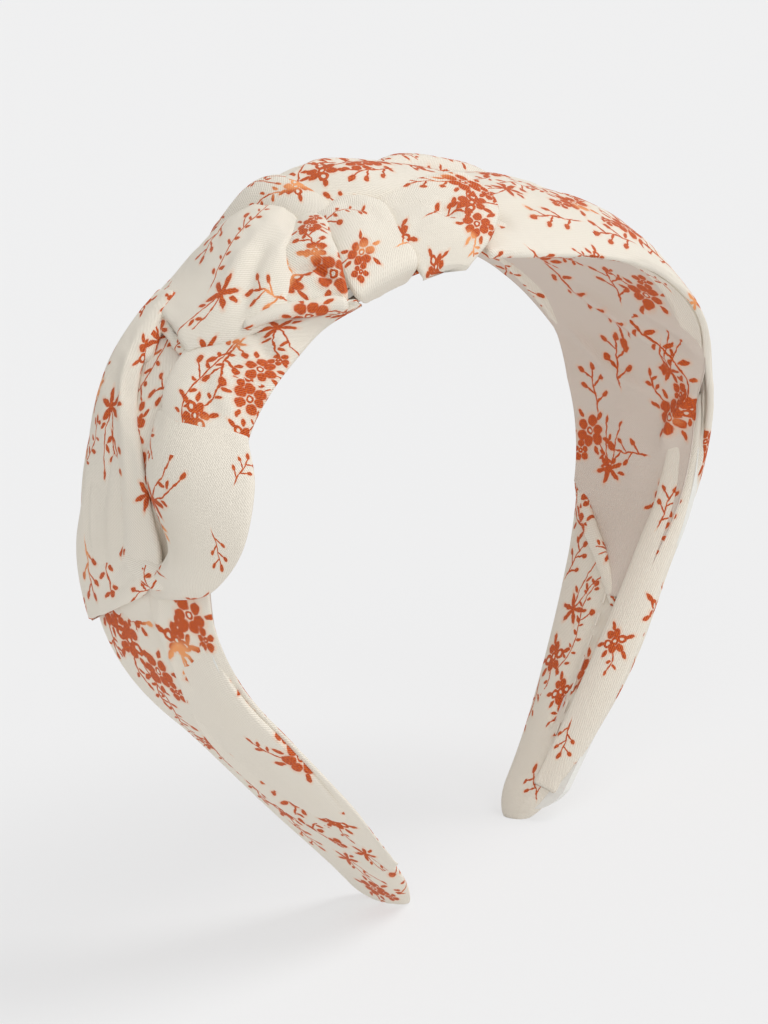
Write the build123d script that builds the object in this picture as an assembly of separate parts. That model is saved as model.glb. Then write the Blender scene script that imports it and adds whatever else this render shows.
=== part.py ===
"""Knotted fabric headband, millimetres, +Z up.

The band is an arch in the XZ plane that stands on its two tips at z = 0, with its width along Y.
Places on it are given by s, the arc length from the crown (left is negative), v, the distance across
the band (the front edge is negative, along -Y) and h, the height above the lining's inner face.
"""

from build123d import *
import os
from math import cos, degrees, pi, radians, sin

# ---- driving dimensions -------------------------------------------------------------------------
CROWN_R, CROWN_TURN = 118.0, 20.0        # crown arc: radius, and degrees turned on each side
SHOULDER_R, SHOULDER_TURN = 46.0, 105.0  # tight arc over each temple
LEG_R, LEG_TURN = 600.0, 6.35           # nearly straight leg that runs inwards to the tip

LINING_T = 0.7      # fabric strip glued inside
CORE_T = 1.6        # moulded spring band
FOAM_T = 2.5        # foam strip on the spring band's outer face
WRAP_T = 2.2        # half thickness of a leg's fabric wrap, over the spring band
KNOT_END_S = 104.0  # the gathered fabric ends here and the plain leg wraps begin
CORE_END_S = 184.0  # the spring band's tips are rounded from here on
END_ROUNDING = 0.6   # length of the round end over its half width
HEADROOM = 30.0      # the cutting outlines reach this far above the crown
FOAM_END_S = 96.0

# Half widths, as (s, half width) from the left tip to the right one.
FABRIC_HALF_WIDTHS = [
    (-205, 6), (-155, 13), (-105, 18), (-40, 25), (0, 27), (40, 28), (75, 27), (105, 18), (155, 11), (205, 6),
]
CORE_HALF_WIDTHS = [(-205, 4), (-155, 10), (-110, 14), (0, 16), (110, 14), (155, 9), (205, 4)]
# The left leg's middle line bows towards the front by LEG_BOW, over a stretch that starts at BOW_START_S.
LEG_BOW, BOW_START_S, BOW_LENGTH = 5.0, -105.0, 110.0
FOAM_INSET = 1.0     # the foam is this much narrower than the spring band, on each side
LINING_INSET = 1.5   # the lining stops this far inside the fabric's edge
# Height of the gathered fabric over the lining at its middle, as (distance from the crown, height).
DRAPE_HEIGHTS = [(0, 19), (30, 15), (60, 12), (90, 10), (104, 6)]

STITCH_R, STITCH_LENGTH, STITCH_PITCH = 0.25, 3.0, 5.0
STITCH_GAP = 0.3     # thread stands this far off the cloth it is pulled against
SEAM_S = (118.0, 178.0)
TACK_PLACES = [(-85, 0), (-35, -5), (-5, -5), (15, 5), (85, 0)]
TACK_LENGTH = 4.5

CROWN_LENGTH = radians(CROWN_TURN) * CROWN_R
SHOULDER_LENGTH = radians(SHOULDER_TURN) * SHOULDER_R
LEG_LENGTH = radians(LEG_TURN) * LEG_R
HALF_LENGTH = CROWN_LENGTH + SHOULDER_LENGTH + LEG_LENGTH
BREAKS = [0.0, CROWN_LENGTH, CROWN_LENGTH + SHOULDER_LENGTH, HALF_LENGTH + LEG_LENGTH]
BIG = 200.0

# Lines between neighbouring folds of the gathered fabric: each passes through two (s, v) places.
MIDDLE_V = 0.0
LEFT_END = ((-112, -30), (-112, 30))
LEFT_LOOP_TOP = ((-70, -25), (-60, 0))
LEFT_DRAPE_TOP = ((-60, 0), (-50, 25))
SHOULDER_TOP = ((-35, -25), (-50, 0))
KNOT_START = ((-20, -25), (-30, 0))
CROWN_DRAPE_START = ((-25, 0), (-30, 25))
KNOT_CROSSING = ((-10, -25), (-5, 0))
KNOT_END = ((5, -25), (20, 0))
CROWN_DRAPE_END = ((20, 0), (30, 25))
RIGHT_END = ((112, -30), (112, 30))


def between(table, s):
    """Straight-line value of a (place, value) table at s."""
    for (s0, a), (s1, b) in zip(table, table[1:]):
        if s <= s1:
            return a + (b - a) * (s - s0) / (s1 - s0)
    return table[-1][1]


def leg_bow(s):
    """How far the band's middle line lies off the middle at s: only the left leg bows."""
    share = min(max((BOW_START_S - s) / BOW_LENGTH, 0), 1)
    return -LEG_BOW * sin(pi * share)


def half_arch(s):
    """Point (x, z below the crown) and heading in degrees at arc length s >= 0."""
    x = z = turned = 0.0
    for radius, turn in ((CROWN_R, CROWN_TURN), (SHOULDER_R, SHOULDER_TURN), (LEG_R, 2 * LEG_TURN)):
        step = min(s, radians(turn) * radius)
        after = turned + degrees(step / radius)
        x += radius * (sin(radians(after)) - sin(radians(turned)))
        z += radius * (cos(radians(after)) - cos(radians(turned)))
        s -= step
        turned = after
        if s <= 0:
            break
    return x, z, turned


ARCH_HEIGHT = -half_arch(HALF_LENGTH)[1]


def place(s, v, h):
    """The point at (s, v, h)."""
    x, z, turned = half_arch(abs(s))
    side = -1 if s < 0 else 1
    return Vector(side * (x + h * sin(radians(turned))), v, ARCH_HEIGHT + z + h * cos(radians(turned)))


def outward(s):
    """Unit direction away from the head at s."""
    return place(s, 0, 1) - place(s, 0, 0)


def section_plane(s):
    """Plane across the band at s: its x runs along +Y, its y points outwards."""
    return Plane(origin=place(s, 0, 0), x_dir=(0, 1, 0), z_dir=Vector(0, 1, 0).cross(outward(s)))


def arch_line(s0, s1, h):
    """Arcs along the arch at height h, from s0 to s1."""
    knots = sorted({s0, s1, *[b for b in BREAKS + [-b for b in BREAKS] if min(s0, s1) < b < max(s0, s1)]})
    if s1 < s0:
        knots.reverse()
    return [
        ThreePointArc(place(a, 0, h), place((a + b) / 2, 0, h), place(b, 0, h))
        for a, b in zip(knots, knots[1:])
    ]


def arch_slab(s0, s1, h0, h1, half=60.0):
    """Everything between two heights over a stretch of the arch, out to +-half across."""
    edges = [
        *arch_line(s0, s1, h0),
        Line(place(s1, 0, h0), place(s1, 0, h1)),
        *arch_line(s1, s0, h1),
        Line(place(s0, 0, h1), place(s0, 0, h0)),
    ]
    return extrude(make_face(edges), amount=half, dir=(0, 1, 0), both=True)


def half_prism(side, widths, inset, end_s):
    """Prism along X over one side of the arch: its YZ outline has the given half widths and a round end."""
    stations = [side * s for s in range(0, int(end_s), 12)] + [side * end_s]
    back, front = (
        [Vector(0, leg_bow(s) + way * (between(widths, s) - inset), place(s, 0, 0).Z) for s in stations]
        for way in (1, -1)
    )
    end = (back[-1] + front[-1]) / 2
    lowest = end - Vector(0, 0, (back[-1] - front[-1]).length / 2 * END_ROUNDING)
    over_back, over_front = (Vector(0, corner.Y, ARCH_HEIGHT + HEADROOM) for corner in (back[0], front[0]))
    edges = [
        Line(over_back, back[0]),
        Spline(back),
        ThreePointArc(back[-1], lowest, front[-1]),
        Spline(front[::-1]),
        Line(front[0], over_front),
        Line(over_front, over_back),
    ]
    return extrude(make_face(edges), amount=BIG, dir=(side, 0, 0))


def strip(end_s, h0, h1, widths, inset=0.0):
    """A layer of the band between two heights, from -end_s to end_s, with the given half widths."""
    slab = arch_slab(-HALF_LENGTH, HALF_LENGTH, h0, h1)
    if end_s < HALF_LENGTH:
        slab = arch_slab(-end_s, end_s, h0, h1)
    left, right = (slab & half_prism(side, widths, inset, min(end_s + 8, CORE_END_S)) for side in (-1, 1))
    return left + right


def spring_band():
    return strip(HALF_LENGTH, LINING_T, LINING_T + CORE_T, CORE_HALF_WIDTHS)


def foam_pad():
    low = LINING_T + CORE_T
    return strip(FOAM_END_S, low, low + FOAM_T, CORE_HALF_WIDTHS, FOAM_INSET)


def lining():
    return strip(KNOT_END_S, 0, LINING_T, FABRIC_HALF_WIDTHS, LINING_INSET)


def dome(s, base=-4.0):
    """D-shaped section of the gathered fabric at s, sketched a little below its seat."""
    half = between(FABRIC_HALF_WIDTHS, s)
    height = between(DRAPE_HEIGHTS, abs(s))
    edges = [
        Line((-half, base), (half, base)),
        Line((half, base), (half, LINING_T)),
        EllipticalCenterArc((0, LINING_T), half, height - LINING_T, start_angle=0, arc_size=180),
        Line((-half, LINING_T), (-half, base)),
    ]
    return section_plane(s) * make_face(edges)


def gathered_fabric(core, foam):
    """All the gathered and knotted fabric as one body, seated on the lining, foam and spring band."""
    stations = [i * KNOT_END_S / 8 for i in range(-8, 9)]
    body = loft([dome(s) for s in stations])
    return body - arch_slab(-KNOT_END_S - 5, KNOT_END_S + 5, -30, LINING_T) - core - foam


def cut_plane(a, b):
    """Plane through two (s, v) places and square to the band between them, facing the right leg."""
    (s0, v0), (s1, v1) = a, b
    p, q = place(s0, v0, 10), place(s1, v1, 10)
    normal = (q - p).cross(outward((s0 + s1) / 2))
    if normal.dot(place(s0 + 10, v0, 10) - p) < 0:
        normal = -normal
    return Plane(origin=p, z_dir=normal)


def keep_side(body, plane, side):
    """The part of body on one side of plane."""
    return split(body, bisect_by=plane, keep=Keep.TOP if side > 0 else Keep.BOTTOM)


def drape_between(fabric, left, right, back=None):
    """A piece of the gathered fabric between two cut lines, of the back or front half or across both."""
    piece = keep_side(keep_side(fabric, cut_plane(*left), 1), cut_plane(*right), -1)
    if back is None:
        return piece
    middle = Plane(origin=(0, MIDDLE_V, 0), z_dir=(0, 1, 0))
    return keep_side(piece, middle, 1 if back else -1)


def ellipse_section(s):
    """Flat oval section of a leg's fabric wrap at s."""
    middle = LINING_T + CORE_T / 2
    return section_plane(s) * Pos(leg_bow(s), middle) * Ellipse(between(FABRIC_HALF_WIDTHS, s), WRAP_T)


def leg_wrap(side, core):
    """Fabric wrapped round one leg, cut flat where it stands."""
    stations = [KNOT_END_S, 125, 150, 175, HALF_LENGTH + 4]
    body = loft([ellipse_section(side * s) for s in stations])
    floor_cut = Pos(0, 0, -50) * Box(BIG, BIG, 100)
    return body - floor_cut - core


def stitch(s, v, h, length, along):
    """One straight stitch lying along the band or across it."""
    plane = section_plane(s)
    spot = Plane(origin=place(s, v, h), x_dir=(0, 1, 0), z_dir=plane.z_dir)
    turn = Rot(0, 0, 0) if along else Rot(0, 90, 0)
    body = spot * turn * Cylinder(STITCH_R, length - 2 * STITCH_R)
    tips = (-length / 2 + STITCH_R, length / 2 - STITCH_R)
    ends = [spot * turn * Pos(0, 0, z) * Sphere(STITCH_R) for z in tips]
    return body + ends


def seam_thread(side):
    """Slip stitches that close a leg's wrap down the middle of its inner face."""
    low = LINING_T + CORE_T / 2 - WRAP_T - STITCH_R - STITCH_GAP
    count = int((SEAM_S[1] - SEAM_S[0]) / STITCH_PITCH)
    spots = [SEAM_S[0] + STITCH_PITCH * (i + 0.5) for i in range(count)]
    return Compound([stitch(side * s, leg_bow(side * s), low, STITCH_LENGTH, True) for s in spots])


def knot_tacks():
    """Bar tacks through the lining that hold the knots to the band."""
    return Compound([stitch(s, v, -STITCH_R - STITCH_GAP, TACK_LENGTH, False) for s, v in TACK_PLACES])


def build():
    core = spring_band()
    foam = foam_pad()
    fabric = gathered_fabric(core, foam)
    return {
        "spring_band": core,
        "foam_pad": foam,
        "lining": lining(),
        "left_leg_wrap": leg_wrap(-1, core),
        "right_leg_wrap": leg_wrap(1, core),
        "left_knot_loop": drape_between(fabric, LEFT_END, LEFT_LOOP_TOP, back=False),
        "left_knot_drape": drape_between(fabric, LEFT_END, LEFT_DRAPE_TOP, back=True),
        "left_shoulder_fold": drape_between(fabric, LEFT_LOOP_TOP, SHOULDER_TOP, back=False),
        "left_shoulder_drape": drape_between(fabric, LEFT_DRAPE_TOP, CROWN_DRAPE_START, back=True),
        "shoulder_knot": drape_between(fabric, SHOULDER_TOP, KNOT_START, back=False),
        "crown_knot_tail": drape_between(fabric, KNOT_START, KNOT_CROSSING, back=False),
        "crown_knot_loop": drape_between(fabric, KNOT_CROSSING, KNOT_END, back=False),
        "crown_back_drape": drape_between(fabric, CROWN_DRAPE_START, CROWN_DRAPE_END, back=True),
        "right_drape": (
            drape_between(fabric, KNOT_END, RIGHT_END, back=False)
            + drape_between(fabric, CROWN_DRAPE_END, RIGHT_END, back=True)
        ),
        "left_seam_thread": seam_thread(-1),
        "right_seam_thread": seam_thread(1),
        "knot_tack_threads": knot_tacks(),
    }


os.makedirs("parts", exist_ok=True)
for node, shape in build().items():
    export_step(shape, f"parts/{node}.step")
print("arch height", round(ARCH_HEIGHT, 2), "half length", round(HALF_LENGTH, 2))
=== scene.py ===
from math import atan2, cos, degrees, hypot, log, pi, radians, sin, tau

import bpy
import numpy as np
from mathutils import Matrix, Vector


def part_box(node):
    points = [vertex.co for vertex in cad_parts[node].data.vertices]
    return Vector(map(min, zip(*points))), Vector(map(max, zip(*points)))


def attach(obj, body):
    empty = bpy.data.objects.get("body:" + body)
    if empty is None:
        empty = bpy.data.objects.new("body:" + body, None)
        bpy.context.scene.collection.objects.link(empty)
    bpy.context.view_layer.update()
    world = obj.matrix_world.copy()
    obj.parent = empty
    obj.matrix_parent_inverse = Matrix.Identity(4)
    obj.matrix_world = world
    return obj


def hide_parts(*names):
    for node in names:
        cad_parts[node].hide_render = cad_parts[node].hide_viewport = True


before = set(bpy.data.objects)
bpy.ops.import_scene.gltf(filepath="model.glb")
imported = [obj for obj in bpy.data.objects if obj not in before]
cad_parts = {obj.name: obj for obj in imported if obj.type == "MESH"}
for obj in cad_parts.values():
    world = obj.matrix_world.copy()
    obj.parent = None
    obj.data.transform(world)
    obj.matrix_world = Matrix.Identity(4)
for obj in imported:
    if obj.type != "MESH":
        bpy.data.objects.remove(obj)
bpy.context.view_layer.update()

# Knotted headband: printed satin cloth gathered and knotted over a sprung band.
# Places on the band are (s, v, h) in millimetres: s is the arc length along the arch from the crown
# (left is negative), v goes across the band (the front edge is negative) and h is the height above
# the lining's inner face.

MM = 0.001

# ---- the arch ----
CROWN_ARC, SHOULDER_ARC, LEG_ARC = (118.0, 20.0), (46.0, 105.0), (600.0, 13.2)  # radius, degrees turned
LINING_AND_CORE = 2.3    # thickness of the CAD lining and spring band together
CROWN_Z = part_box("spring_band")[1].z / MM - LINING_AND_CORE    # the lining's inner face at the crown


def arch(s):
    """x, drop below the crown and heading in radians at arc length s >= 0, for an array of s."""
    left = np.array(s, float)
    x, z, turned = np.zeros_like(left), np.zeros_like(left), np.zeros_like(left)
    for radius, turn in (CROWN_ARC, SHOULDER_ARC, LEG_ARC):
        step = np.clip(left, 0, radius * radians(turn))
        after = turned + step / radius
        x += radius * (np.sin(after) - np.sin(turned))
        z += radius * (np.cos(after) - np.cos(turned))
        left -= step
        turned = after
    return x, z, turned


def place(svh):
    """World points in mm for an array of (s, v, h)."""
    svh = np.asarray(svh, float)
    s, v, h = svh[..., 0], svh[..., 1], svh[..., 2]
    x, z, turned = arch(np.abs(s))
    side = np.where(s < 0, -1.0, 1.0)
    return np.stack([side * (x + h * np.sin(turned)), v, CROWN_Z + z + h * np.cos(turned)], -1)


ARCH_S = np.linspace(-204, 204, 1633)    # every quarter of a millimetre
ARCH_P = place(np.stack([ARCH_S, 0 * ARCH_S, 0 * ARCH_S], -1))[:, (0, 2)]
ARCH_OUT = place(np.stack([ARCH_S, 0 * ARCH_S, 0 * ARCH_S + 1], -1))[:, (0, 2)] - ARCH_P


def unplace(points):
    """(s, v, h) of an array of world points in mm: the reverse of place."""
    flat = points.reshape(-1, 3)
    found = np.empty_like(flat)
    batch = 4000
    for i in range(0, len(flat), batch):
        part = flat[i:i + batch]
        gap = part[:, None, (0, 2)] - ARCH_P[None]
        nearest = (gap ** 2).sum(-1).argmin(1)
        gap = gap[np.arange(len(part)), nearest]
        out = (gap * ARCH_OUT[nearest]).sum(1)
        found[i:i + batch] = np.stack([ARCH_S[nearest], part[:, 1], out], -1)
    return found.reshape(points.shape)


# ---- curves, noise and grids ----
def smooth_rows(points, where, wanted):
    """Smooth curves through points (k, c, 3) at the k places `where`, sampled at the wanted places."""
    slopes = np.gradient(points, where, axis=0)
    k = np.clip(np.searchsorted(where, wanted, side="right") - 1, 0, len(where) - 2)
    span = (where[k + 1] - where[k])[:, None, None]
    t = (wanted - where[k])[:, None, None] / span
    return (
        (2 * t ** 3 - 3 * t ** 2 + 1) * points[k] + (t ** 3 - 2 * t ** 2 + t) * span * slopes[k]
        + (3 * t ** 2 - 2 * t ** 3) * points[k + 1] + (t ** 3 - t ** 2) * span * slopes[k + 1]
    )


def run_along(points):
    """Running length in mm along a line of places (s, v, h, ...)."""
    return np.concatenate([[0], np.cumsum(steps_of(place(points[:, :3])))])


def even_rows(rows, count):
    """Smooth curve through rows (s, v, h, ...), sampled at count places evenly along its length."""
    rows = np.asarray(rows, float)
    knots = run_along(rows)
    fine = np.linspace(0, knots[-1], count * 8)
    values = smooth_rows(rows[:, None], knots, fine)[:, 0]
    length = run_along(values)
    even = np.linspace(0, length[-1], count)
    return np.stack([np.interp(even, length, column) for column in values.T], -1)


def steps_of(points, axis=0):
    """Distances in mm between neighbouring points of a grid along one axis."""
    return np.linalg.norm(np.diff(points, axis=axis), axis=-1)


def noise(p, seed):
    """Smooth value noise from -1 to 1 for an array of 3-D points, one lattice cell per unit."""
    table = np.random.RandomState(seed).permutation(256)
    cell = np.floor(p).astype(int)
    t = p - cell
    t = t * t * t * (t * (6 * t - 15) + 10)
    total = 0
    for corner in np.ndindex(2, 2, 2):
        c = (cell + corner) & 255
        value = table[(table[(table[c[..., 0]] + c[..., 1]) & 255] + c[..., 2]) & 255] / 127.5 - 1
        weight = np.prod(np.where(np.array(corner), t, 1 - t), axis=-1)
        total = total + value * weight
    return total


def normals_of(grid, around):
    """Unit normals of a grid of points, closed in its second direction if around."""
    du = np.gradient(grid, axis=0)
    if around:
        dv = (np.roll(grid, -1, axis=1) - np.roll(grid, 1, axis=1)) / 2
    else:
        dv = np.gradient(grid, axis=1)
    n = np.cross(du, dv)
    return n / np.maximum(np.linalg.norm(n, axis=-1, keepdims=True), 1e-9)


def outward(grid):
    """Unit normals of a tube grid that point away from its middle line."""
    normal = normals_of(grid, around=True)
    inward = (normal * (grid - grid.mean(1, keepdims=True))).sum() < 0
    return -normal if inward else normal


def line_distance(points, path):
    """Distance in the (s, v) plane from points to a polyline, and the share of the way along it."""
    path = np.asarray(path, float)
    best = np.full(points.shape[:-1], 1e9)
    along = np.zeros(points.shape[:-1])
    for i, (a, b) in enumerate(zip(path, path[1:])):
        t = np.clip(((points - a) @ (b - a)) / ((b - a) @ (b - a)), 0, 1)
        d = np.linalg.norm(points - a - t[..., None] * (b - a), axis=-1)
        along = np.where(d < best, (i + t) / (len(path) - 1), along)
        best = np.minimum(best, d)
    return best, along


def fade_ends(share):
    """Strength of a crease at a share of the way along it: it fades towards both ends."""
    return np.clip(4 * np.minimum(share, 1 - share) + 0.25, 0, 1)


# ---- meshes ----
def add_object(name, data):
    made = bpy.data.objects.new(name, data)
    bpy.context.collection.objects.link(made)
    return made


def mesh_piece(name, points, faces, weave):
    """Object from points in mm, faces, and cloth coordinates in mm for each face corner."""
    mesh = bpy.data.meshes.new(name)
    mesh.from_pydata((points * MM).tolist(), [], faces)
    layer = mesh.uv_layers.new(name="weave")
    layer.data.foreach_set("uv", np.asarray(weave, np.float32).ravel())
    mesh.polygons.foreach_set("use_smooth", np.ones(len(faces), bool))
    mesh.update()
    return add_object(name, mesh)


def tube_mesh(name, grid, cloth):
    """Closed mesh of a tube grid (along, around, 3); cloth is (along, around + 1, 2) in mm."""
    rows, around = grid.shape[:2]
    tips = np.stack([grid[0].mean(0), grid[-1].mean(0)])
    points = np.concatenate([grid.reshape(-1, 3), tips])
    i, j = np.meshgrid(np.arange(rows - 1), np.arange(around), indexing="ij")
    k = (j + 1) % around
    quads = np.stack([i * around + j, i * around + k, (i + 1) * around + k, (i + 1) * around + j], -1)
    corners = np.stack([cloth[i, j], cloth[i, j + 1], cloth[i + 1, j + 1], cloth[i + 1, j]], -2)
    faces = quads.reshape(-1, 4)[:, ::-1].tolist()
    weave = corners.reshape(-1, 4, 2)[:, ::-1].reshape(-1, 2).tolist()
    first, last = rows * around, rows * around + 1
    for j in range(around):
        k = (j + 1) % around
        faces.append([first, k, j][::-1])
        weave += [cloth[0, j], cloth[0, j], cloth[0, j + 1]]
        end = (rows - 1) * around
        faces.append([last, end + j, end + k][::-1])
        weave += [cloth[-1, j + 1], cloth[-1, j], cloth[-1, j]]
    return mesh_piece(name, points, faces, weave)


def sheet_mesh(name, grid, cloth, thickness):
    """Closed thin mesh of a sheet grid (along, across, 3), thickened along its normals."""
    rows, across = grid.shape[:2]
    normal = normals_of(grid, around=False)
    points = np.concatenate([grid.reshape(-1, 3), (grid - normal * thickness).reshape(-1, 3)])
    i, j = np.meshgrid(np.arange(rows - 1), np.arange(across - 1), indexing="ij")
    a, b, c, d = i * across + j, i * across + j + 1, (i + 1) * across + j + 1, (i + 1) * across + j
    quads = np.stack([a, d, c, b], -1).reshape(-1, 4)
    corners = np.stack([cloth[i, j], cloth[i + 1, j], cloth[i + 1, j + 1], cloth[i, j + 1]], -2)
    corners = corners.reshape(-1, 4, 2)
    back = quads[:, ::-1] + rows * across
    faces = np.concatenate([quads, back])[:, ::-1].tolist()
    weave = np.concatenate([corners[:, ::-1], corners]).reshape(-1, 2).tolist()
    rim = list(range(across)) + [i * across + across - 1 for i in range(1, rows)]
    rim += [(rows - 1) * across + j for j in range(across - 2, -1, -1)]
    rim += [i * across for i in range(rows - 2, 0, -1)]
    flat = cloth.reshape(-1, 2)
    for a, b in zip(rim, rim[1:] + rim[:1]):
        faces.append([b, a, a + rows * across, b + rows * across][::-1])
        weave += [flat[b], flat[a], flat[a], flat[b]][::-1]
    return mesh_piece(name, points, faces, weave)


GATHERED = 0.65    # gathered cloth is nearly as wide where it is pinched: 1 would be just as wide


def cloth_lengths(grid, around):
    """Cloth coordinates in mm of a grid: mean length along it and running length across it."""
    along = np.concatenate([[0], np.cumsum(steps_of(grid).mean(1))])
    ring = np.concatenate([grid, grid[:, :1]], 1) if around else grid
    steps = steps_of(ring, 1)
    widest = steps.sum(1).max()
    across = np.concatenate([np.zeros((len(grid), 1)), np.cumsum(steps, 1)], 1)
    whole = across[:, -1:]
    share = (1 - GATHERED) * whole + GATHERED * widest
    across = across / np.maximum(whole, 1e-6) * share - share / 2
    return np.stack([np.repeat(along[:, None], ring.shape[1], 1), across], -1)


# ---- the print's drawing ----
# Each motif is a list of inked shapes in mm, drawn round its own origin and growing towards +x.
def blob(x, y, a, b, turn=0.0):
    return ("blob", x, y, a, b, turn)


def ring(x, y, a, b, turn=0.0, line=0.22):
    return ("ring", x, y, a, b, turn, line)


def stroke(x0, y0, x1, y1, line=0.2):
    x, y = x1 - x0, y1 - y0
    return blob((x0 + x1) / 2, (y0 + y1) / 2, hypot(x, y) * 0.56, line, degrees(atan2(y, x)))


def stem(points, line=0.2):
    return [stroke(*p, *q, line) for p, q in zip(points, points[1:])]


def blossom(x, y, reach, petals=5, turn=0.0, fat=0.46):
    shapes = [ring(x, y, reach * 0.28, reach * 0.26, 0, 0.2)]
    for i in range(petals):
        a = radians(turn + 360 * i / petals + 9 * sin(5 * i + x))
        size = reach * (1 + 0.14 * sin(3 * i + y))
        tilt = degrees(a) + 12 * sin(i)
        shapes.append(blob(x + size * cos(a), y + size * sin(a), size * 0.52, size * fat, tilt))
    return shapes


def leaves(points, size=1.0):
    """Small leaves or buds: each is (x, y, turn)."""
    reach = [size * (0.95 + 0.15 * sin(7 * i)) for i in range(len(points))]
    return [blob(x, y, a, size * 0.46, turn) for a, (x, y, turn) in zip(reach, points)]


def posy():
    shapes = blossom(0, 0, 2.35, 6, 10) + blossom(4.7, 2.4, 1.45, 5, 30, 0.5)
    around = [(-3.9, 2.3, 150), (-3.6, -2.6, 215), (0.6, 4.9, 80), (1.8, -4.6, -60), (4.3, -1.9, -30)]
    shapes += leaves(around, 1.05)
    shapes += stem([(2.6, -2.6), (5.2, -4.4), (7.6, -5.0)])
    shapes += leaves([(5.6, -3.5, 40), (6.2, -5.5, -60), (8.5, -5.0, 0), (7.4, -4.1, 55)], 0.75)
    return shapes


def rose():
    shapes = [ring(0, 0, 0.75, 0.65, 0, 0.26)]
    for i in range(6):
        a = radians(60 * i + 8 * sin(4 * i))
        if i % 3 == 1:
            shapes.append(ring(2.0 * cos(a), 2.0 * sin(a), 1.0, 0.8, degrees(a), 0.3))
        else:
            tilt = degrees(a) + 20 * sin(i)
            shapes.append(blob(2.1 * cos(a), 2.1 * sin(a), 1.1 + 0.15 * sin(5 * i), 0.92, tilt))
    around = [(3.9, 1.6, 25), (-3.7, 1.5, 160), (-2.2, -3.5, 235), (1.8, 3.8, 70), (2.6, -3.2, -45)]
    shapes += leaves(around, 1.1)
    shapes += stem([(3.0, -0.6), (5.4, -1.2), (7.8, -0.6)])
    shapes += leaves([(5.6, -0.2, 50), (6.4, -2.0, -50), (8.6, -0.3, 15)], 0.7)
    return shapes


def garland():
    spine = [(-13, -1.5), (-9.5, 0.4), (-6, 1.3), (-2, 1.0), (2, -0.2), (6, -1.2), (9.5, -1.0), (13, 0.6)]
    shapes = stem(spine)
    for i, (x, y) in enumerate(spine[1:]):
        shapes += leaves([(x - 0.6, y + 1.25, 65), (x + 0.9, y - 1.2, -60)], 0.78 if i % 2 else 0.95)
    shapes += [blob(13.7, 1.1, 0.9, 0.7, 40), stroke(2, -0.2, 5.2, 2.6), blob(5.9, 3.2, 1.0, 0.75, 40)]
    return shapes


def twig():
    shapes = stem([(-4, 0), (-1, 0.3), (2, -0.1), (5, 0.5)])
    for x, y, side in ((-2.2, 0.2, 1), (-0.4, 0.2, -1), (1.4, 0.1, 1), (3.0, 0.1, -1)):
        shapes.append(stroke(x, y, x + 1.5, y + 1.9 * side))
        shapes.append(blob(x + 1.9, y + 2.4 * side, 0.8, 0.48, 52 * side))
    shapes += [blob(5.7, 0.8, 0.95, 0.6, 25)]
    return shapes


def star():
    petals = (75, 140, 205, 265, 325)
    shapes = [blob(1.9 * cos(radians(a)), 1.9 * sin(radians(a)), 1.5, 0.52, a) for a in petals]
    shapes += [blob(0, 0, 0.9, 0.7), blob(-1.3, 3.1, 0.9, 0.4, 110)]
    shapes += stem([(0.6, -0.2), (4.0, -0.6), (7.4, -0.2), (10.6, 0.6)], 0.17)
    shapes += stem([(0.4, 0.3), (3.4, 1.6), (6.2, 2.2), (9.2, 4.2)], 0.17)
    around = [(7.0, 0.8, 40), (11.2, 0.9, 20), (5.4, 1.2, -40), (9.8, 4.7, 45), (3.8, -1.6, -50)]
    shapes += leaves(around, 0.8)
    return shapes


MOTIFS = {"posy": posy, "rose": rose, "garland": garland, "twig": twig, "star": star}
MOTIF_REACH = {"posy": 9, "rose": 8, "garland": 15, "twig": 6.5, "star": 11}
FAR_AWAY = 900.0

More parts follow.
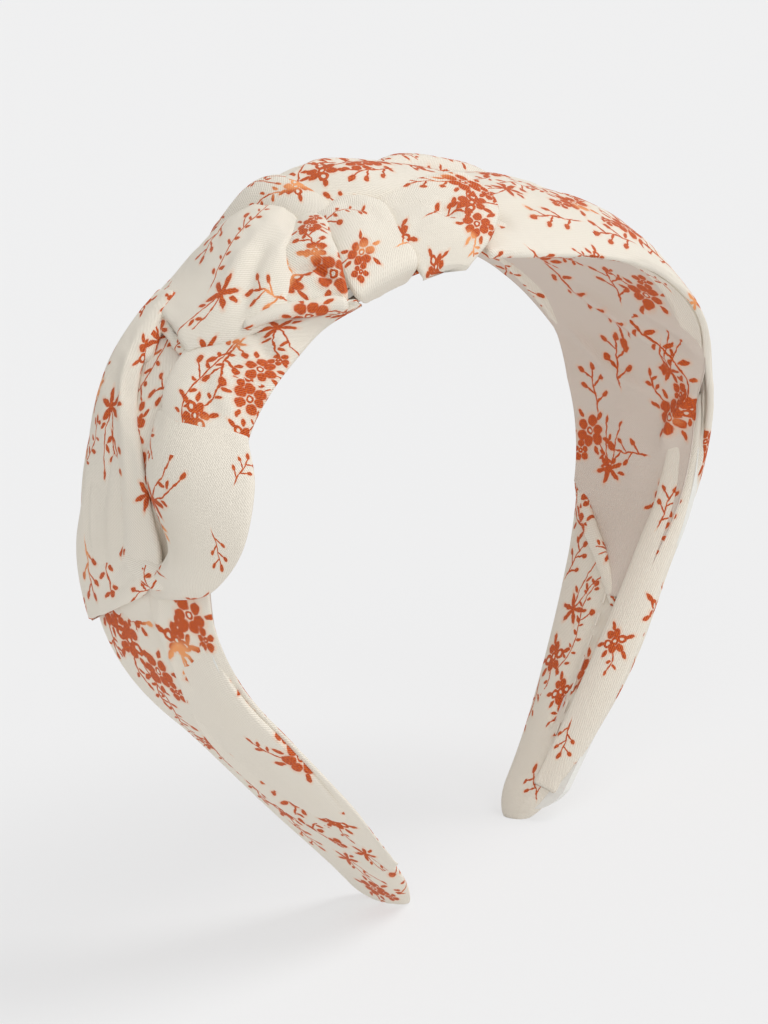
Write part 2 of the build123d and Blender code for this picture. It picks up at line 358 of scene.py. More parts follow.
# Where the print falls: (motif, s, v, turn from the +s direction, scale if it isn't 1).
PRINT = {
    "left_knot_drape": [
        ("star", -67, 9, 185, 1.1), ("garland", -83, 5, 180, 1.1), ("twig", -93, 13, 190, 1.1),
        ("rose", -48, 16, 0, 0.9),
    ],
    "gathered_base": [
        ("garland", -60, 6, 185), ("twig", -61, -3, 100, 1.1), ("posy", -76, -2, 190, 0.9),
        ("rose", -69, 2, 170, 0.8),
    ],
    "left_knot_loop": [
        ("star", -80, -9, -24), ("star", -84, -11, 186, 0.9), ("twig", -86, -24, 200, 0.6),
        ("twig", -73, -25, 0, 0.6),
    ],
    "left_shoulder_fold": [
        ("posy", -60, -19, 20, 0.9), ("rose", -66, -13, 0, 0.9), ("garland", -61, -10, 5, 0.8),
        ("twig", -54, -12, 180, 1.1), ("star", -46, -17, 195), ("posy", -54, -18, -40, 0.8),
        ("rose", -67, -21, 0, 0.8),
    ],
    "left_shoulder_drape": [
        ("star", -45, -4, 160, 1.1), ("garland", -32, 4, 20, 0.9), ("twig", -30, 14, 200, 1.1),
        ("twig", -42, -13, 120),
    ],
    "left_back_fold": [("star", -16, 18, 260, 0.8), ("rose", -17, 4, 0, 0.8)],
    "shoulder_knot": [
        ("posy", -33, -20, 30, 1.1), ("rose", -38, -13, 90), ("twig", -30, -14, 60, 1.1),
        ("posy", -26, -8, 0, 0.8),
    ],
    "crown_knot_tail": [("posy", -24, -19, 200, 0.8), ("twig", -15, -22, 20, 0.8)],
    "crown_knot_loop": [
        ("posy", 8, -14, -90, 0.9), ("rose", 4, -20, 0), ("posy", 0, -25, -60, 0.9), ("twig", -3, -19, 10),
        ("twig", 3, -11, 150),
    ],
    "crown_back_drape": [
        ("rose", -11, 3, 0), ("posy", 0, 2, 180, 1.1), ("garland", -4, 9, 10), ("twig", -4, -3, 170),
        ("rose", 8, 0, 0, 0.9),
    ],
    "right_back_roll": [
        ("posy", 24, 24, 0, 0.9), ("rose", 32, 26, 0, 0.9), ("posy", 42, 26, 180, 0.9),
        ("rose", 52, 25, 0, 0.9),
    ],
    "back_edge_roll": [
        ("posy", -72, 18, 0, 0.9), ("rose", -42, 22, 0, 0.9), ("rose", -16, 24, 0, 0.8),
        ("posy", 5, 25, 0, 0.9), ("garland", 34, 25, 0, 0.8),
    ],
    "right_drape": [
        ("posy", 48, -19, 150), ("rose", 54, -14, 0, 1.1), ("posy", 39, -13, 170), ("garland", 34, -5, 185),
        ("twig", 29, -19, 170, 1.2), ("star", 24, -9, 180), ("rose", 44, -7, 0),
        ("twig", 42, -23, 175, 1.2), ("garland", 20, -1, 185, 0.9), ("posy", 30, 2, 0),
        ("twig", 57, -21, 160), ("rose", 52, -3, 0), ("posy", 60, 4, 0), ("garland", 45, 12, 0, 1.1),
        ("posy", 72, 8, 40), ("star", 86, -4, 10), ("garland", 78, 15, 20), ("garland", 26, 16, 0),
    ],
    "left_leg_wrap": [
        ("posy", -101, 11, 200, 0.9), ("rose", -107, 7, 180, 1.1), ("twig", -109, 15, 120, 0.9),
        ("posy", -112, 1, 185), ("rose", -101, 3, 180, 0.9), ("garland", -122, 4, 180, 0.8),
        ("rose", -132, 1, 180, 0.9), ("posy", -145, -2, 185, 0.9), ("rose", -154, -3, 180, 0.9),
        ("twig", -162, -2, 190), ("posy", -182, -7, 190), ("star", -169, -9, 185, 0.9),
    ],
    "left_leg_overlap": [
        ("posy", -99, -12, 180, 1.1), ("rose", -104, -8, 180, 1.1), ("star", -113, -9, 182, 1.2),
        ("posy", -120, -13, 175, 0.8), ("star", -128, -10, 180, 0.9), ("garland", -136, -14, 190, 0.8),
        ("posy", -148, -12, 180), ("star", -164, -18, 190, 0.9), ("rose", -154, -17, 190, 0.8),
        ("twig", -141, -8, 185),
    ],
    "right_leg_rim": [("twig", 120, -10, 190, 0.9), ("rose", 150, -8, 0, 0.8), ("twig", 172, -4, 0, 0.8)],
    "right_leg_wrap": [
        ("star", 144, 8, 190, 1.1), ("rose", 155, 9, 0, 1.1), ("posy", 157, -2, 180, 1.1),
        ("rose", 162, 4, 0, 0.9), ("garland", 148, 5, 185, 0.8), ("posy", 170, -3, 0),
        ("twig", 184, 1, 150, 1.1), ("twig", 134, 13, 200),
    ],
    "lining": [
        ("garland", 74, 2, -35, 1.3), ("garland", 80, -8, -30, 1.2), ("posy", 68, -12, 180, 1.1),
        ("star", 88, -10, 190, 0.9), ("twig", 88, 4, 180, 1.2), ("posy", 98, -10, 180, 1.1),
        ("rose", 96, -17, 0, 0.9), ("twig", 95, 12, 175, 1.1), ("posy", 104, 14, 0),
        ("twig", 66, -4, 190, 1.2), ("twig", 108, 2, 90), ("rose", 118, -8, 0, 0.9), ("star", 112, 8, 170),
        ("twig", 128, -8, 200), ("posy", 20, 5, 0), ("garland", 40, 14, 10), ("rose", -10, -8, 0),
        ("star", -40, 6, 0), ("garland", -75, -4, 0), ("posy", -100, 4, 30), ("twig", -118, -8, 200),
    ],
}
# The listed motifs of these lie on the face that is turned inwards.
INSIDE_PRINT = ("lining", "right_leg_wrap", "right_leg_rim")
MOTIF_GAP = 11    # mm of cloth from a scattered motif to the nearest other one
SCATTER_TRIES = 400
TURNED_AWAY = 400    # added to the squared distance where the face looks the wrong way


def cloth_spot(i, j, svh, cloth):
    """Cloth coordinates of a grid place, the turn of +s in them, and -1 if they are mirrored."""
    i = int(np.clip(i, 2, svh.shape[0] - 3))
    j = int(np.clip(j, 2, svh.shape[1] - 3))
    across = (svh[i, j + 2] - svh[i, j - 2])[:2]
    along = (svh[i + 2, j] - svh[i - 2, j])[:2]
    steps = np.linalg.lstsq(np.stack([along, across], 1), np.array([1.0, 0.0]), rcond=None)[0]
    on_cloth = steps[0] * (cloth[i + 2, j] - cloth[i - 2, j])
    on_cloth = on_cloth + steps[1] * (cloth[i, j + 2] - cloth[i, j - 2])
    flip = np.sign(along[0] * across[1] - along[1] * across[0]) or 1.0
    return cloth[i, j], atan2(on_cloth[1], on_cloth[0]), flip


def motif_spots(name, svh, cloth, facing):
    """Every motif on a piece: those listed by place, then scattered ones on the parts turned away."""
    spots = {kind: [] for kind in MOTIFS}
    taken = []
    side = -facing if name in INSIDE_PRINT else facing
    for kind, s, v, turn, *scale in PRINT.get(name, ()):
        gap = (svh[..., 0] - s) ** 2 + (svh[..., 1] - v) ** 2 + TURNED_AWAY * (side < 0.15)
        centre, base, flip = cloth_spot(*np.unravel_index(gap.argmin(), gap.shape), svh, cloth)
        spots[kind].append((*centre, base + flip * radians(turn), *(scale or [1]), flip))
        taken.append(centre)
    rng = np.random.RandomState(len(name) * 7 + len(taken))
    s, v = svh[..., 0], svh[..., 1]
    away = (s > 58) & (facing > 0.2) | (v > 15) & (facing > 0) | (s < 55) & (facing < -0.3)
    places = np.argwhere(away)
    for i, j in places[rng.permutation(len(places))[:SCATTER_TRIES]]:
        centre, base, flip = cloth_spot(i, j, svh, cloth)
        if all(np.linalg.norm(centre - other) > MOTIF_GAP for other in taken):
            kind = list(MOTIFS)[rng.randint(len(MOTIFS))]
            turn = base + rng.uniform(-0.6, 0.6) + pi * rng.randint(2)
            spots[kind].append((*centre, turn, rng.uniform(0.75, 1.05), flip))
            taken.append(centre)
    return spots


def print_cloth(piece, name, grid, cloth, normal):
    """Gives each face the nearest motif's own coordinates, one UV layer for each kind of motif."""
    svh = unplace(grid)
    facing = (normal * (place(svh + (0, 0, 1)) - place(svh))).sum(-1)
    spots = motif_spots(name, svh, cloth, facing)
    mesh = piece.data
    corners = np.empty(len(mesh.loops) * 2, np.float32)
    mesh.uv_layers["weave"].data.foreach_get("uv", corners)
    corners = corners.reshape(-1, 2)
    starts = np.empty(len(mesh.polygons), np.int32)
    totals = np.empty(len(mesh.polygons), np.int32)
    mesh.polygons.foreach_get("loop_start", starts)
    mesh.polygons.foreach_get("loop_total", totals)
    face = np.repeat(np.arange(len(starts)), totals)
    middle = np.add.reduceat(corners, starts, axis=0) / totals[:, None]
    for kind in MOTIFS:
        local = np.full_like(corners, FAR_AWAY)
        if spots[kind]:
            rows = np.array(spots[kind])
            gap = np.linalg.norm(middle[:, None] - rows[None, :, :2], axis=-1) / rows[:, 3]
            mine = gap.argmin(1)[face]
            near = gap.min(1)[face] < MOTIF_REACH[kind] * 1.3
            d = corners - rows[mine, :2]
            c, s = np.cos(rows[mine, 2]), np.sin(rows[mine, 2])
            turned = np.stack([c * d[:, 0] + s * d[:, 1], (c * d[:, 1] - s * d[:, 0]) * rows[mine, 4]], -1)
            local[near] = (turned / rows[mine, 3:4])[near]
        layer = mesh.uv_layers.new(name=kind)
        layer.data.foreach_set("uv", local.ravel())


# ---- strands of gathered cloth ----
SPACING = 0.55    # mm between the points of a piece's grid


def strand_grid(rows, edge=1.0, belly=0.6, end_round=(1.0, 1.0)):
    """Flattened tube of cloth along rows of (s, v, h, half width, half thickness)."""
    length = run_along(even_rows(rows, 400))[-1]
    count = max(12, int(length / SPACING))
    line = even_rows(rows, count)
    centre = place(line[:, :3])
    tangent = np.gradient(centre, axis=0)
    tangent /= np.linalg.norm(tangent, axis=1, keepdims=True)
    out = place(line[:, :3] + (0, 0, 1)) - centre
    side = np.cross(out, tangent)
    side /= np.linalg.norm(side, axis=1, keepdims=True)
    up = np.cross(tangent, side)
    at = np.linspace(0, length, count)
    widest = max(row[3] for row in rows)
    close = np.ones(count)
    for distance, share in ((at, end_round[0]), (length - at, end_round[1])):
        reach = max(share * widest * 0.5, 1.0)
        near = np.clip(distance / reach, 0.02, 1)
        close *= np.sqrt(1 - (1 - near) ** 2)
    around = max(16, int(widest * 4.4 / SPACING))
    angle = -pi / 2 + tau * np.arange(around) / around
    x, y = np.cos(angle), np.sin(angle)
    y = np.sign(y) * np.abs(y) ** edge * np.where(y < 0, belly, 1)
    across = line[:, 3:4] * close[:, None] * x
    lift = line[:, 4:5] * close[:, None] * y
    grid = centre[:, None] + side[:, None] * across[..., None] + up[:, None] * lift[..., None]
    return grid, at, angle


def wrinkle(grid, at, angle, folds, seed):
    """Height in mm of gathers on a strand: ridges along it that fade away from where it is pinched."""
    height = np.zeros(grid.shape[:2])
    u, a = np.meshgrid(at, angle, indexing="ij")
    for depth, ridges, stretch, start, end in folds:
        p = np.stack([ridges * np.cos(a) / 2, ridges * np.sin(a) / 2, u / stretch], -1)
        p = p + 0.35 * noise(p * 0.7 + 9, seed + 5)[..., None]
        ridge = 1 - 2 * np.abs(noise(p, seed))
        share = u / at[-1]
        fade = np.exp(-np.abs(share - start) / 0.16) + np.exp(-np.abs(share - end) / 0.16)
        height += depth * ridge * np.clip(fade + 0.12, 0, 1)
        seed += 11
    return height


def add_lines(grid, normal, height, lines, inside=False):
    """Adds creases (negative) and ridges (positive) to height: each is (depth, width, [(s, v), ...])."""
    svh = unplace(grid)
    out = place(svh + (0, 0, 1)) - place(svh)
    facing = (normal * out).sum(-1) * (-1 if inside else 1)
    seen = np.clip(facing * 3, 0, 1)
    for depth, width, path in lines:
        distance, share = line_distance(svh[..., :2], path)
        height += depth * np.exp(-(distance / width) ** 2) * fade_ends(share) * seen
    return height


def strand(name, rows, folds=(), inner_lines=(), seed=1, edge=1.0, belly=0.6, end_round=(1.0, 1.0),
           floor=None):
    """One closed, gathered strand or pouch of cloth."""
    grid, at, angle = strand_grid(rows, edge, belly, end_round)
    cloth = cloth_lengths(grid, around=True)
    normal = outward(grid)
    height = wrinkle(grid, at, angle, folds, seed)
    height = add_lines(grid, normal, height, inner_lines, inside=True)
    grid = grid + normal * height[..., None]
    if floor is not None:
        grid[..., 2] = np.maximum(grid[..., 2], floor)
    piece = tube_mesh(name, grid, cloth)
    print_cloth(piece, name, grid, cloth[:, :-1], normal)
    return piece


def even_places(points):
    """Places from 0 to 1 of the rows of a net, spread by the mean distance between them."""
    steps = steps_of(points).mean(1) + 1e-3
    return np.concatenate([[0], np.cumsum(steps)]) / steps.sum()


def along(points, share):
    """Smooth curve through a few points (s, v, h), at the given shares of its length."""
    points = np.asarray(points, float)[:, None]
    return smooth_rows(points, even_places(place(points)), share)[:, 0]


def longest(front, back):
    """Length in mm of the longer edge line."""
    return max(run_along(np.asarray(edge, float))[-1] for edge in (front, back))


FULLNESS = 0.65    # power of the sine in a panel's section: below 1 it is fuller than a plain arch


def panel_grid(front, back, lift, crest, under, roll, depth):
    """Closed panel of folded cloth between two edge lines: an arch of height lift stands over each crossing.

    The arch is highest at the share `crest` of the way across, and runs on under the front edge by `under`.
    """
    rows = max(10, int(longest(front, back) / SPACING))
    share = (1 - np.cos(pi * np.linspace(0, 1, rows))) / 2 * 0.25 + np.linspace(0, 1, rows) * 0.75
    first, last = along(front, share), along(back, share)
    lift = smooth_rows(np.array(lift, float)[:, None, None], np.linspace(0, 1, len(lift)), share)[:, 0]
    wide = np.linalg.norm(place(last) - place(first), axis=1).max() + lift.max()
    turn = pi * np.linspace(-under, 1, max(8, int(wide / SPACING)))
    across = (1 - np.cos(turn)) / 2
    svh = first[:, None] + (last - first)[:, None] * across[None, :, None]
    rise = np.sin(pi * across ** (log(0.5) / log(crest))).clip(0) ** FULLNESS
    svh[..., 2] += lift * np.sign(turn) * rise
    top = place(svh)
    cols = top.shape[1]
    normal = normals_of(top, around=False)
    middle = svh.mean((0, 1))
    if (normal * (place(middle + (0, 0, 1)) - place(middle))).sum() < 0:
        normal = -normal
    inset = 1.0
    for axis in (0, 1):
        steps = steps_of(top, axis)
        gone = np.concatenate([0 * steps.take([0], axis), np.cumsum(steps, axis)], axis)
        left = gone.take([-1], axis) - gone
        edge = np.clip(np.minimum(gone, left) / roll, 0, 1)
        inset = inset * np.sqrt(np.maximum(1 - (1 - edge) ** 2, 0.001))
        deep = np.clip(np.minimum(gone, left) / 6, 0, 1)
        inner = deep if axis == 0 else inner * deep
    upper = top + normal * (roll * inset)[..., None]
    lower = top - normal * (roll * inset + depth * inner)[..., None]
    return np.concatenate([upper, lower[:, ::-1]], 1), cols


def soften(height, cloth, folds, seed):
    """Adds soft ridges to height: each is (depth, width, length, share at the start, share at the end)."""
    share = (cloth[..., 0] - cloth[0, 0, 0]) / max(cloth[-1, 0, 0] - cloth[0, 0, 0], 1)
    for depth, width, long, start, end in folds:
        p = np.stack([cloth[..., 1] / width, cloth[..., 0] / long, 0 * share], -1)
        p = p + 0.4 * noise(p * 0.6 + 9, seed + 5)[..., None]
        fade = start * np.clip(1 - share / 0.5, 0, 1) + end * np.clip((share - 0.5) / 0.5, 0, 1) + 0.25
        height = height + depth * (0.6 - 1.6 * np.abs(noise(p, seed))) * np.clip(fade, 0, 1)
        seed += 11
    return height


SIM_STEP = 4           # the simulation's grid takes every fourth point
SIM_CAP = 1.2          # mm that the simulation may move a point
SIM_FRAMES = 16
SIM_PRESSURE = 1.0
SIM_GROWTH = 0.06      # share by which the cloth grows


def settle(grid):
    """Cloth simulation of a closed grid: it is blown up a little while its cloth grows, so it creases.

    It runs on a coarse copy, whose moves are then spread smoothly over the fine grid and kept under SIM_CAP.
    """
    rows = np.unique(np.append(np.arange(0, len(grid), SIM_STEP), len(grid) - 1))
    ring = np.arange(0, grid.shape[1] - SIM_STEP // 2, SIM_STEP)
    coarse = grid[rows][:, ring]
    piece = tube_mesh("cloth_in_simulation", coarse, cloth_lengths(coarse, around=True))
    cloth = piece.modifiers.new("cloth", "CLOTH")
    rules = cloth.settings
    rules.quality = 6
    rules.mass = 0.1
    rules.tension_stiffness = rules.compression_stiffness = 6
    rules.shear_stiffness = 3
    rules.bending_stiffness = 0.05
    rules.use_pressure = True
    rules.uniform_pressure_force = SIM_PRESSURE
    rules.shrink_min = -SIM_GROWTH
    rules.effector_weights.gravity = 0
    cloth.collision_settings.use_collision = False
    scene = bpy.context.scene
    for frame_number in range(1, SIM_FRAMES + 1):
        scene.frame_set(frame_number)
    evaluated = piece.evaluated_get(bpy.context.evaluated_depsgraph_get())
    after = np.empty(len(evaluated.data.vertices) * 3, np.float32)
    evaluated.data.vertices.foreach_get("co", after)
    moved = after.reshape(-1, 3)[:-2].reshape(coarse.shape) / MM - coarse
    moved -= moved.mean((0, 1))
    size = np.linalg.norm(moved, axis=-1, keepdims=True) + 1e-9
    moved *= SIM_CAP * np.tanh(size / SIM_CAP) / size
    bpy.data.objects.remove(piece)
    scene.frame_set(1)
    around = np.concatenate([moved[:, -1:], moved, moved[:, :2]], 1).transpose(1, 0, 2)
    places = np.concatenate([[ring[-1] - grid.shape[1]], ring, grid.shape[1] + ring[:2]])
    moved = smooth_rows(around, places, np.arange(grid.shape[1])).transpose(1, 0, 2)
    return grid + smooth_rows(moved, rows, np.arange(len(grid)))


def panel(name, front, back, lift, crest=0.5, under=0.0, roll=0.8, depth=2.5, folds=(), lines=(),
          dents=(), seed=1):
    """One closed panel of folded cloth, with soft folds, creases and dents."""
    grid, cols = panel_grid(front, back, lift, crest, under, roll, depth)
    cloth = cloth_lengths(grid, around=True)
    normal = outward(grid)
    height = soften(np.zeros(grid.shape[:2]), cloth[:, :-1], folds, seed)
    height[:, cols:] *= 0.2
    height = add_lines(grid, normal, height, lines)
    svh = unplace(grid)
    for dent, width, s, v in dents:
        gap = (svh[:, :cols, 0] - s) ** 2 + (svh[:, :cols, 1] - v) ** 2
        height[:, :cols] += dent * np.exp(-gap / width ** 2)
    grid = grid + normal * height[..., None]
    grid = settle(grid)
    piece = tube_mesh(name, grid, cloth)
    print_cloth(piece, name, grid, cloth[:, :-1], normal)
    return piece


# Each panel lies between two edge lines of (s, v, h), each with only the points that its shape needs.
# lift is the height of the arch over the crossings, spread evenly along the panel.
# Its folds are as in soften, its lines as in add_lines, and a dent is (depth, width, s, v).
PANELS = {
    "left_knot_drape": dict(
        front=[(-45, 11, 9), (-62, 7, 9), (-78, -4, 8), (-90, -9, 7), (-95, -4, 6)],
        back=[(-43, 21, 4), (-62, 20, 3), (-80, 18, 2), (-94, 18, 2), (-104, 16, 3)],
        lift=[2, 3, 3, 2, 1], folds=[(0.5, 7, 30, 0.8, 0.2)],
        lines=[(-0.5, 2, [(-60, 12), (-74, 6), (-88, 1)])], seed=7),
    "left_knot_loop": dict(
        front=[(-67, -21, 2), (-76, -26, 2), (-86, -26, 3), (-93, -20, 4), (-96, -6, 5)],
        back=[(-66, -3, 8), (-77, -6, 8), (-87, -14, 8), (-91, -9, 7), (-94, -4, 6)],
        lift=[3, 4, 3, 2, 0], roll=0.9, folds=[(0.3, 9, 26, 0.4, 0.8)], seed=9),
    "left_knot_corner": dict(
        front=[(-69, -10, 9), (-65, -8, 9), (-63, -7, 9)], back=[(-66, -3, 9), (-65, -4, 9), (-63, -5, 9)],
        lift=[0.3, 0.2, 0.1], roll=0.45, depth=0.6),
    "left_shoulder_fold": dict(
        front=[(-68, -21, 1), (-58, -20, 1), (-48, -20, 1), (-40, -21, 2), (-34, -25, 3)],
        back=[(-70, -8, 8), (-60, -3, 9), (-54, -3, 9), (-47, -12, 9), (-40, -20, 7), (-34, -24, 4)],
        lift=[3, 3, 2, 1, 0], folds=[(0.4, 8, 24, 0.5, 0.6)],
        lines=[(-1.1, 1.5, [(-52, -19), (-49, -15), (-47, -12)]), (0.5, 1.6, [(-64, -18), (-56, -12)])],
        seed=12),
    "left_shoulder_drape": dict(
        front=[(-55, -3, 8), (-50, -11, 7), (-43, -15, 7), (-35, -12, 9), (-25, -4, 11)],
        back=[(-44, 20, 5), (-36, 23, 4), (-22, 27, 4), (-8, 25, 7)],
        lift=[3, 5, 8, 8, 5], folds=[(0.6, 9, 26, 0.5, 0.8)],
        lines=[(-0.9, 1.8, [(-32, -3), (-40, -6), (-47, -10)]), (0.6, 2.2, [(-34, 0), (-44, -3)])], seed=15),
    "left_knot_pleat": dict(
        front=[(-47, 10, 9), (-50, 5, 9), (-53, 1, 9), (-55, -2, 9)],
        back=[(-51, 11, 9), (-53, 5, 9), (-55, 1, 9), (-56, -2, 9)],
        lift=[0.5, 0.5, 0.3, 0.2], roll=0.5, depth=1.5),
    "left_back_fold": dict(
        front=[(-22, 26, 6), (-22, 14, 12), (-22, 2, 12), (-22, -7, 10)],
        back=[(-13, 26, 6), (-10, 14, 13), (-12, 3, 13), (-17, -6, 11)],
        lift=[3, 5, 4, 1], folds=[(0.3, 5, 16, 0.5, 0.5)], seed=17),
    "shoulder_knot": dict(
        front=[(-16, -5, 11), (-24, -11, 12), (-31, -20, 9), (-35, -23, 5), (-37, -20, 3)],
        back=[(-18, 5, 11), (-27, -3, 11), (-36, -7, 10), (-41, -14, 8), (-41, -19, 5)],
        lift=[1, 2, 2, 1, 0], folds=[(0.5, 5, 14, 0.5, 0.9)],
        lines=[(-1.3, 0.8, [(-36, -13), (-33, -16), (-34, -21)])], seed=19),
    "crown_knot_tail": dict(
        front=[(-20, 0, 12), (-23, -10, 11), (-29, -18, 7), (-31, -22, 4), (-28, -20, 1)],
        back=[(-12, 0, 13), (-10, -9, 12), (-14, -18, 8), (-17, -24, 4), (-18, -21, 1)],
        lift=[1, 2, 2, 1, 0], folds=[(0.4, 7, 22, 0.7, 0.5)],
        lines=[(-0.8, 1.6, [(-17, -6), (-15, -12), (-16, -18)])], seed=22),
    "crown_knot_loop": dict(
        front=[(-8, -5, 12), (-11, -12, 10), (-15, -21, 6), (-17, -26, 1)],
        back=[(10, -11, 13), (11, -17, 9), (3, -25, 4), (-8, -28, 0)],
        lift=[1, 2, 2, 1], folds=[(0.35, 8, 22, 0.7, 0.3)], dents=[(-1.8, 2.2, -2, -20)],
        lines=[(-0.6, 1.2, [(-9, -10), (-4, -17), (-2, -20)])], seed=25),
    "crown_back_drape": dict(
        front=[(-16, -2, 12), (-9, -6, 12), (1, -9, 11), (13, -8, 9)],
        back=[(-16, 22, 8), (-6, 26, 6), (6, 27, 5), (19, 25, 4)],
        lift=[7, 9, 7, 5], folds=[(0.5, 8, 24, 0.7, 0.5)],
        lines=[(-0.7, 2, [(-8, 6), (2, 5), (12, 3)])], seed=28),
    "right_drape": dict(
        front=[(2, -25, -1), (18, -27, -3), (40, -27, -3), (54, -26, -1), (70, -25, 0), (90, -18, 1),
               (116, -12, 1)],
        back=[(13, 24, 4), (34, 26, 3), (50, 24, 1), (66, 22, 0), (80, 20, 0), (94, 18, 0), (108, 15, 1)],
        lift=[8, 10, 10, 8, 7, 4], crest=0.55, under=0.05, folds=[(0.9, 10, 34, 0.6, 0.6)],
        dents=[(-2, 3, 12, -18)], lines=[(-0.4, 2, [(8, -16), (20, -16), (30, -14)])], seed=31),
    "left_leg_overlap": dict(
        front=[(-86, -17, 1), (-110, -16, 1), (-130, -19, 1), (-150, -21, 1), (-170, -20, 1)],
        back=[(-86, -3, 4), (-112, -4, 4), (-132, -1, 4), (-150, -5, 4), (-160, -13, 4), (-170, -16, 3)],
        lift=[1, 1, 1, 1, 1], roll=0.5, depth=1, folds=[(0.3, 5, 20, 0.7, 0.7)], seed=41),
    "right_leg_rim": dict(
        front=[(94, -15, -1), (104, -9, -2), (120, -6, -2), (145, -4, -2), (165, -2, -2), (182, 1, -1)],
        back=[(94, -16, 0), (114, -13, 1), (131, -12, 1), (154, -11, 1), (170, -8, 1), (183, -4, 1)],
        lift=[0, -1, -1, -1, 0], roll=0.6, depth=0.4, folds=[(0.3, 6, 20, 0.6, 0.6)], seed=43),
}

# Rows of (s, v, h, half width, half thickness). Its folds are as in wrinkle.
STRANDS = {
    "gathered_base": dict(
        rows=[(-106, 1, 1.4, 14, 2.2), (-90, 2, 2, 14, 5), (-60, 3, 2.4, 15, 6), (-30, 3, 3, 18, 7),
              (-10, 2, 4, 21, 9), (15, 0, 2, 21, 4), (40, 0, 1.6, 21, 3), (75, 0, 1.6, 18, 2.4),
              (92, 0, 1.6, 14, 1.8)],
        folds=[(0.5, 9, 30, 0.1, 0.9)], belly=0.45, seed=3),
    "left_knot_tuck": dict(
        rows=[(-44, 13, 9, 2, 1.4), (-49, 12, 9, 3, 1.8), (-54, 10, 9, 3, 1.8), (-58, 8, 8, 2, 1.4)],
        folds=[(0.1, 5, 16, 0.0, 1.0)], seed=6),
    "left_knot_bridge": dict(
        rows=[(-89, 1, 7, 2, 1.2), (-91, -4, 7, 3, 1.5), (-92, -8, 7, 3, 1.6), (-92, -13, 6, 2, 1.2)],
        folds=[(0.1, 5, 16, 0.0, 1.0)], seed=8),
    "left_shoulder_cuff": dict(
        rows=[(-49, -12, 9, 1, 1.1), (-44, -16, 8, 2, 1.5), (-40, -20, 6, 2, 1.9), (-37, -22, 5, 2, 2),
              (-35, -24, 4, 2, 1.8)],
        folds=[(0.15, 5, 12, 0.0, 1.0)], seed=13),
    "right_back_roll": dict(
        rows=[(11, 17, 9, 3, 3), (24, 22, 10.6, 4, 4.4), (38, 24, 10.6, 4, 4.4), (50, 24, 10, 4, 4.4),
              (61, 22, 7, 3, 4), (72, 20, 3, 2, 2.4)],
        folds=[(0.2, 5, 16, 0.5, 0.5)], seed=33),
    "back_edge_roll": dict(
        rows=[(-100, 14, 2, 2, 2), (-80, 16, 2.2, 3, 2.2), (-60, 18, 2.6, 3, 2.6), (-30, 22, 3.2, 3, 3.2),
              (-8, 23, 4, 4, 4), (10, 24, 3.4, 4, 3.4), (35, 25, 2.8, 3, 2.8), (56, 23, 2.4, 3, 2.4),
              (80, 18, 2, 2, 2)],
        folds=[(0.2, 6, 20, 0.5, 0.5)], seed=35),
    "left_leg_wrap": dict(
        rows=[(-84, 2, 1.5, 15, 2.4), (-107, 1, 1.5, 15, 2.6), (-130, -5, 1.5, 14, 2.6),
              (-155, -7, 1.5, 13, 2.4), (-177, -6, 1.5, 10, 2.3), (-192, -1, 1.5, 6, 2.1)],
        folds=[(0.25, 7, 30, 0.0, 0.0)], seed=34, belly=1.0, edge=0.9, end_round=(0.6, 0.7), floor=0.0),
    "right_leg_wrap": dict(
        rows=[(92, 1, 3, 14, 1.8), (101, 2, 2.4, 17, 2.6), (114, 3, 1.5, 16, 2.6), (131, 2, 1.5, 14, 2.5),
              (154, 1, 1.5, 12, 2.4), (177, 3, 1.5, 8, 2.2), (192, 6, 1.5, 5, 2)],
        folds=[(0.25, 7, 30, 0.0, 0.0)], seed=37, belly=1.0, edge=0.9, end_round=(0.6, 0.9), floor=0.0,
        inner_lines=[(-0.8, 2, [(138, 0), (155, 2), (172, 3)]), (-1.4, 0.5, [(162, 3), (170, 3)])]),
    "right_lining_hem": dict(
        rows=[(115, 17, -1, 1.4, 1), (123, 12, -2, 1.8, 1.4), (132, 4, -2, 1.6, 1.3),
              (142, -3, -1, 0.8, 0.6)], seed=45),
    "left_lining_hem": dict(
        rows=[(-115, 16, -1, 1.4, 1), (-123, 8, -2, 1.8, 1.4), (-132, 0, -2, 1.6, 1.3),
              (-142, -8, -1, 0.8, 0.6)], seed=47),
}


# The lining: how far it reaches to the front and to the back along the band, and where its slanted ends are.
LINING_FRONT = [
    (-142, 8), (-110, 12), (-80, 14), (-35, 15), (0, 22), (60, 25), (80, 22), (100, 15), (142, 9),
]
LINING_BACK = [
    (-142, 12), (-100, 15), (-60, 18), (0, 25), (24, 30), (50, 30), (64, 26), (80, 20), (100, 18), (142, 15),
]
# Its creases: (depth, width, path of (s, v)); a negative depth is a ridge towards the head.
LINING_CREASES = [
    (-1.6, 2.2, [(66, 10), (78, -4), (90, -17)]), (-1.3, 2.5, [(70, -6), (78, -16), (84, -20)]),
    (-2.2, 2.0, [(92, -17), (99, -10), (106, -7)]), (-0.6, 3, [(96, 6), (106, 2), (116, 0)]),
    (-1.3, 2.5, [(36, 20), (52, 8), (64, 2)]), (-1.2, 2, [(80, 16), (88, 8), (94, -4)]),
    (-0.8, 2.2, [(-66, 8), (-80, -2), (-92, -8)]), (0.8, 3, [(-20, 8), (0, -4), (20, 6)]),
]
LINING_END_FRONT, LINING_END_BACK = 140.0, 116.0
LINING_THICK = 0.4
LINING_LOW = -0.4    # its height: towards the head from the CAD lining's face
LINING_WAVE = 0.4
WRAP_THICK = 1.3     # it lies this much lower where it covers the leg wraps' start
BACK_ROUND = 0.7     # it bends towards the head at its back edge by this
LINING_BOW = 4.0    # it shifts to the front with the left leg's bow


